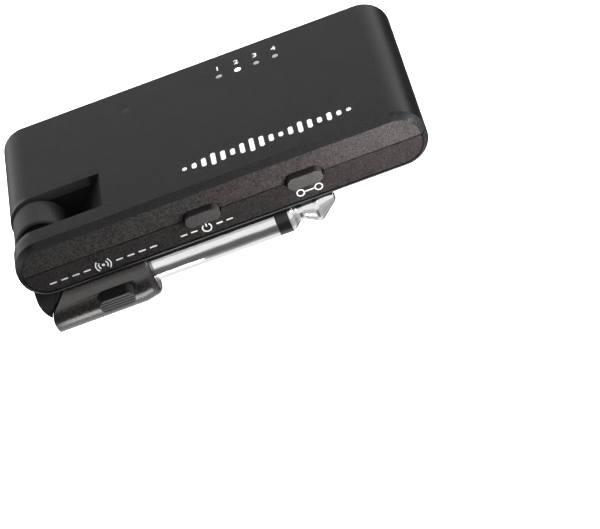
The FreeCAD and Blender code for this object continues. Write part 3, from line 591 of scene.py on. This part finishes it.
def numeral(number, x, material):
    """A printed number above its light."""
    text = bpy.data.curves.new("numeral_%d" % number, "FONT")
    text.body = str(number)
    text.size = NUMERAL_SIZE * MM
    text.extrude = PRINT_HEIGHT / 2
    text.offset = NUMERAL_BOLD * MM
    text.align_x = "CENTER"
    text.align_y = "CENTER"
    text.materials.append(material)
    made = bpy.data.objects.new("numeral_%d" % number, text)
    bpy.context.scene.collection.objects.link(made)
    made.location = (x, CASE_FRONT + NUMERAL_LEVEL * MM, CASE_TOP + PRINT_HEIGHT / 2)
    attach(made, "case")


def print_marks():
    # painted shade: the front print is a darker grey than the same white ink on top; both inks also
    # carry a painted glow
    front_ink_painted_shade = white_ink("white_ink", 0.3, 0.15)
    top_ink = white_ink("top_ink", 0.8, 0.3)
    piece("sound_mark", sound_mark, top_ink)
    piece("send_mark", send_mark, front_ink_painted_shade)
    piece("power_mark", power_mark, front_ink_painted_shade)
    piece("pair_mark", pair_mark, front_ink_painted_shade)
    for number in LIGHT_NUMBERS:
        low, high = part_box("light_pipe_%d" % number)
        numeral(number, (low[0] + high[0]) / 2, top_ink)


# ---------------------------------------------------------------- seam gasket, in millimetres

GASKET_THICK, GASKET_WIDTH = 0.12, 0.7
# how far the gasket's middle lies inside the walls, and the room it leaves round what crosses it
GASKET_INSET, GASKET_ROOM = 0.8, 0.35
GASKET_CORNER_GAP = 0.05


def clear_spans(start, end, gaps):
    """What is left of a span between the gaps that cross it."""
    spans = []
    for low, high in sorted(gaps):
        spans.append((start, low))
        start = high
    return spans + [(start, end)]


def seam_gasket(shape):
    """A thin foam strip in the seam, just inside the walls, that closes it against dust and light."""
    surface = Matrix.Translation(Vector((CASE_LEFT, CASE_FRONT, SEAM - GASKET_THICK / 2 * MM)))
    length, depth = (CASE_RIGHT - CASE_LEFT) / MM, (CASE_BACK - CASE_FRONT) / MM

    def gap(name, axis, corner):
        low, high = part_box(name)
        return (low[axis] - corner) / MM - GASKET_ROOM, (high[axis] - corner) / MM + GASKET_ROOM

    def strip(x, y, long, angle=0.0):
        prism(shape, bar_outline(x, y, long, GASKET_WIDTH, angle), surface, GASKET_THICK * MM)

    keys = [gap(name, 0, CASE_LEFT) for name in ("power_button", "pair_button")]
    port = [gap("charging_port", 0, CASE_LEFT)]
    bay = [gap("hinge_bay", 1, CASE_FRONT)]
    for y, gaps in ((GASKET_INSET, keys), (depth - GASKET_INSET, port)):
        for start, end in clear_spans(GASKET_INSET, length - GASKET_INSET, gaps):
            strip((start + end) / 2, y, end - start)
    corner = GASKET_INSET + GASKET_WIDTH / 2 + GASKET_CORNER_GAP
    for x, gaps in ((GASKET_INSET, bay), (length - GASKET_INSET, [])):
        for start, end in clear_spans(corner, depth - corner, gaps):
            strip(x, (start + end) / 2, end - start, UPRIGHT)


# ---------------------------------------------------------------- stage, in metres

FLOOR_HEIGHT = -0.045
FLOOR_REACH = 3.0


def studio_floor():
    """A plain white floor under the object; it is left out of the object's reflections."""
    mesh = bpy.data.meshes.new("floor")
    corners = [(-1, -1), (1, -1), (1, 1), (-1, 1)]
    mesh.from_pydata([(x * FLOOR_REACH, y * FLOOR_REACH, 0) for x, y in corners], [], [(0, 1, 2, 3)])
    floor = bpy.data.objects.new("floor", mesh)
    bpy.context.scene.collection.objects.link(floor)
    floor.location.z = FLOOR_HEIGHT
    paint = Paint("floor_white", (0.92, 0.92, 0.92), roughness=0.9, specular=0.1)
    paint.glow((1.0, 1.0, 1.0), 0.9)
    mesh.materials.append(paint.material)
    floor.visible_glossy = False
    floor.visible_diffuse = False


# the studio's brightness by level: about -1 is straight below and 1 is straight above
SKY = (
    (-1.06, 0.85),
    (-0.98, 0.97),
    (-0.91, 0.8),
    (-0.84, 0.38),
    (-0.72, 0.22),
    (-0.6, 0.13),
    (-0.44, 0.12),
    (-0.21, 0.15),
    (-0.137, 0.45),
    (-0.08, 0.8),
    (-0.02, 0.95),
    (0.26, 0.95),
    (0.36, 0.55),
    (0.6, 0.48),
    (0.73, 0.46),
    (0.88, 0.03),
    (1.0, 0.03),
)
SKY_LOWEST = -1.1
# at the back the pattern is squeezed towards the horizon by this share, and raised by this much
SKY_SPREAD = 0.35
SKY_TILT = 0.035
# from this height up, the dark top reaches further down in front, by this share
SKY_HOOD_FROM = 0.4
SKY_HOOD = 0.35
# at the back the pattern leans by this share: up on the right and down on the left
SKY_LEAN = 0.35


def studio_world():
    """A bright wall all round, a dim ceiling, a dark band under the wall and a bright patch below."""
    world = bpy.data.worlds.new("studio")
    bpy.context.scene.world = world
    world.use_nodes = True
    tree = world.node_tree

    def combine(operation, *sources):
        return math_node(tree, operation, *sources)

    def step(source, start, end, high=1.0):
        return ramp_node(tree, source, start, end, 0.0, high)

    def patch(*steps):
        """A soft-edged patch of the studio: the product of its steps."""
        share = step(*steps[0])
        for edge in steps[1:]:
            share = combine("MULTIPLY", share, step(*edge))
        return share

    view = tree.nodes.new("ShaderNodeTexCoord").outputs["Generated"]
    right, back, up = split_node(tree, view)

    spread = combine("ADD", combine("MULTIPLY", back, SKY_SPREAD), 1.0)
    level = combine("SUBTRACT", combine("MULTIPLY", up, spread), combine("MULTIPLY", back, SKY_TILT))
    high_up = combine("MAXIMUM", combine("SUBTRACT", up, SKY_HOOD_FROM), 0.0)
    in_front = combine("MULTIPLY", combine("SUBTRACT", 1.0, back), SKY_HOOD)
    level = combine("ADD", level, combine("MULTIPLY", high_up, in_front))
    back_right = combine("MULTIPLY", right, step(back, 0.0, 0.5))
    level = combine("SUBTRACT", level, combine("MULTIPLY", back_right, SKY_LEAN))

    ramp = tree.nodes.new("ShaderNodeValToRGB")
    tree.links.new(step(level, SKY_LOWEST, 1.0), ramp.inputs["Fac"])
    stops = ramp.color_ramp.elements
    while len(stops) < len(SKY):
        stops.new(0.5)
    for stop, (place, bright) in zip(stops, SKY):
        stop.position = (place - SKY_LOWEST) / (1 - SKY_LOWEST)
        stop.color = (bright, bright, bright, 1)

    # low down there is a dark corner at the back right, a brighter one at each side in front,
    # and a brighter patch below at the back, left of the middle
    low_down = step(level, -0.05, -0.25)
    dark = patch((right, 0.1, 0.4, 0.92), (back, 0.0, 0.4))
    sides = patch((combine("ABSOLUTE", right), 0.15, 0.45, 0.38), (back, 0.1, -0.3))
    under = patch((back, 0.25, 0.6, 0.42), (right, 0.2, 0.0), (level, -0.5, -0.68), (level, -0.96, -0.8))
    kept = combine("SUBTRACT", 1.0, combine("MULTIPLY", dark, low_down))
    added = combine("MULTIPLY", combine("ADD", sides, under), low_down)
    sky = combine("ADD", combine("MULTIPLY", ramp.outputs["Color"], kept), added)
    background = tree.nodes["Background"]
    tree.links.new(sky, background.inputs["Color"])
    background.inputs["Strength"].default_value = 1.0


WHITE, COOL_WHITE = (1, 1, 1), (0.8, 0.9, 1)
# each lamp's name, place, aim, size, power in watts, colour, and the rays that it is hidden from
LAMPS = (
    ("front_glow", (0.05, -0.05, 0.01), (0.042, -0.01, 0.01), (0.02, 0.02), 0.125, WHITE,
     ("camera", "glossy")),
    ("back_fill", (-0.1, 0.4, 0.12), (0.015, 0.028, 0.01), (0.35, 0.25), 5.5, WHITE,
     ("camera", "glossy")),
    ("right_fill", (0.45, 0.02, 0.1), (0.045, 0.01, 0.01), (0.3, 0.3), 3.0, WHITE,
     ("camera", "glossy")),
    ("right_side", (0.38, -0.18, 0.146), (0.05, -0.01, 0.012), (0.09, 0.09), 0.25, COOL_WHITE, ()),
    ("under_housing", (-0.008, -0.0135, -0.028), (-0.008, -0.0054, -0.0019), (0.026, 0.009), 0.0028,
     WHITE, ("camera", "diffuse")),
    ("high_front", (0.03, -0.35, 0.5), (0.03, -0.009, 0.011), (0.5, 0.3), 0.3, WHITE, ()),
)


def look_along(thing, direction):
    """Turns a lamp or a camera to look along a direction, upright."""
    thing.rotation_mode = "QUATERNION"
    thing.rotation_quaternion = direction.to_track_quat("-Z", "Y")


def studio_lights():
    for name, place, aim, size, power, colour, hidden_from in LAMPS:
        data = bpy.data.lights.new(name, "AREA")
        data.shape = "RECTANGLE"
        data.size, data.size_y = size
        data.energy = power
        data.color = colour
        lamp = bpy.data.objects.new(name, data)
        bpy.context.scene.collection.objects.link(lamp)
        lamp.location = place
        look_along(lamp, Vector(aim) - Vector(place))
        for rays in hidden_from:
            setattr(lamp, "visible_" + rays, False)


# the camera looks down from the front right, rolled so that the case climbs to the right
CAMERA_AZIMUTH, CAMERA_ELEVATION, CAMERA_ROLL = (
    math.radians(angle) for angle in (4.676, 33.706, -22.542)
)
CAMERA_TARGET = (0.024464, -0.032054, 0.01119)
CAMERA_DISTANCE = 0.41317
SENSOR_WIDTH, FOCAL_LENGTH = 36.0, 167.07


def studio_camera():
    back = Vector(
        (
            math.sin(CAMERA_AZIMUTH) * math.cos(CAMERA_ELEVATION),
            -math.cos(CAMERA_AZIMUTH) * math.cos(CAMERA_ELEVATION),
            math.sin(CAMERA_ELEVATION),
        )
    )
    data = bpy.data.cameras.new("camera")
    data.sensor_width = SENSOR_WIDTH
    data.lens = FOCAL_LENGTH
    data.clip_start = 0.01
    data.clip_end = 20.0
    camera = bpy.data.objects.new("camera", data)
    bpy.context.scene.collection.objects.link(camera)
    camera.location = Vector(CAMERA_TARGET) + back * CAMERA_DISTANCE
    look_along(camera, -back)
    camera.rotation_quaternion = camera.rotation_quaternion @ Quaternion((0, 0, 1), CAMERA_ROLL)
    bpy.context.scene.camera = camera


# ---------------------------------------------------------------- the scene

for old in [item for item in bpy.data.objects if item.type in {"LIGHT", "CAMERA"}]:
    bpy.data.objects.remove(old)
bpy.context.scene.view_settings.view_transform = "Standard"
looks = node_materials()
for name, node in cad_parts.items():
    finish_node(name, node, looks[name])
print_marks()
piece("seam_gasket", seam_gasket, looks["battery_pad"])
studio_floor()
studio_world()
studio_lights()
studio_camera()
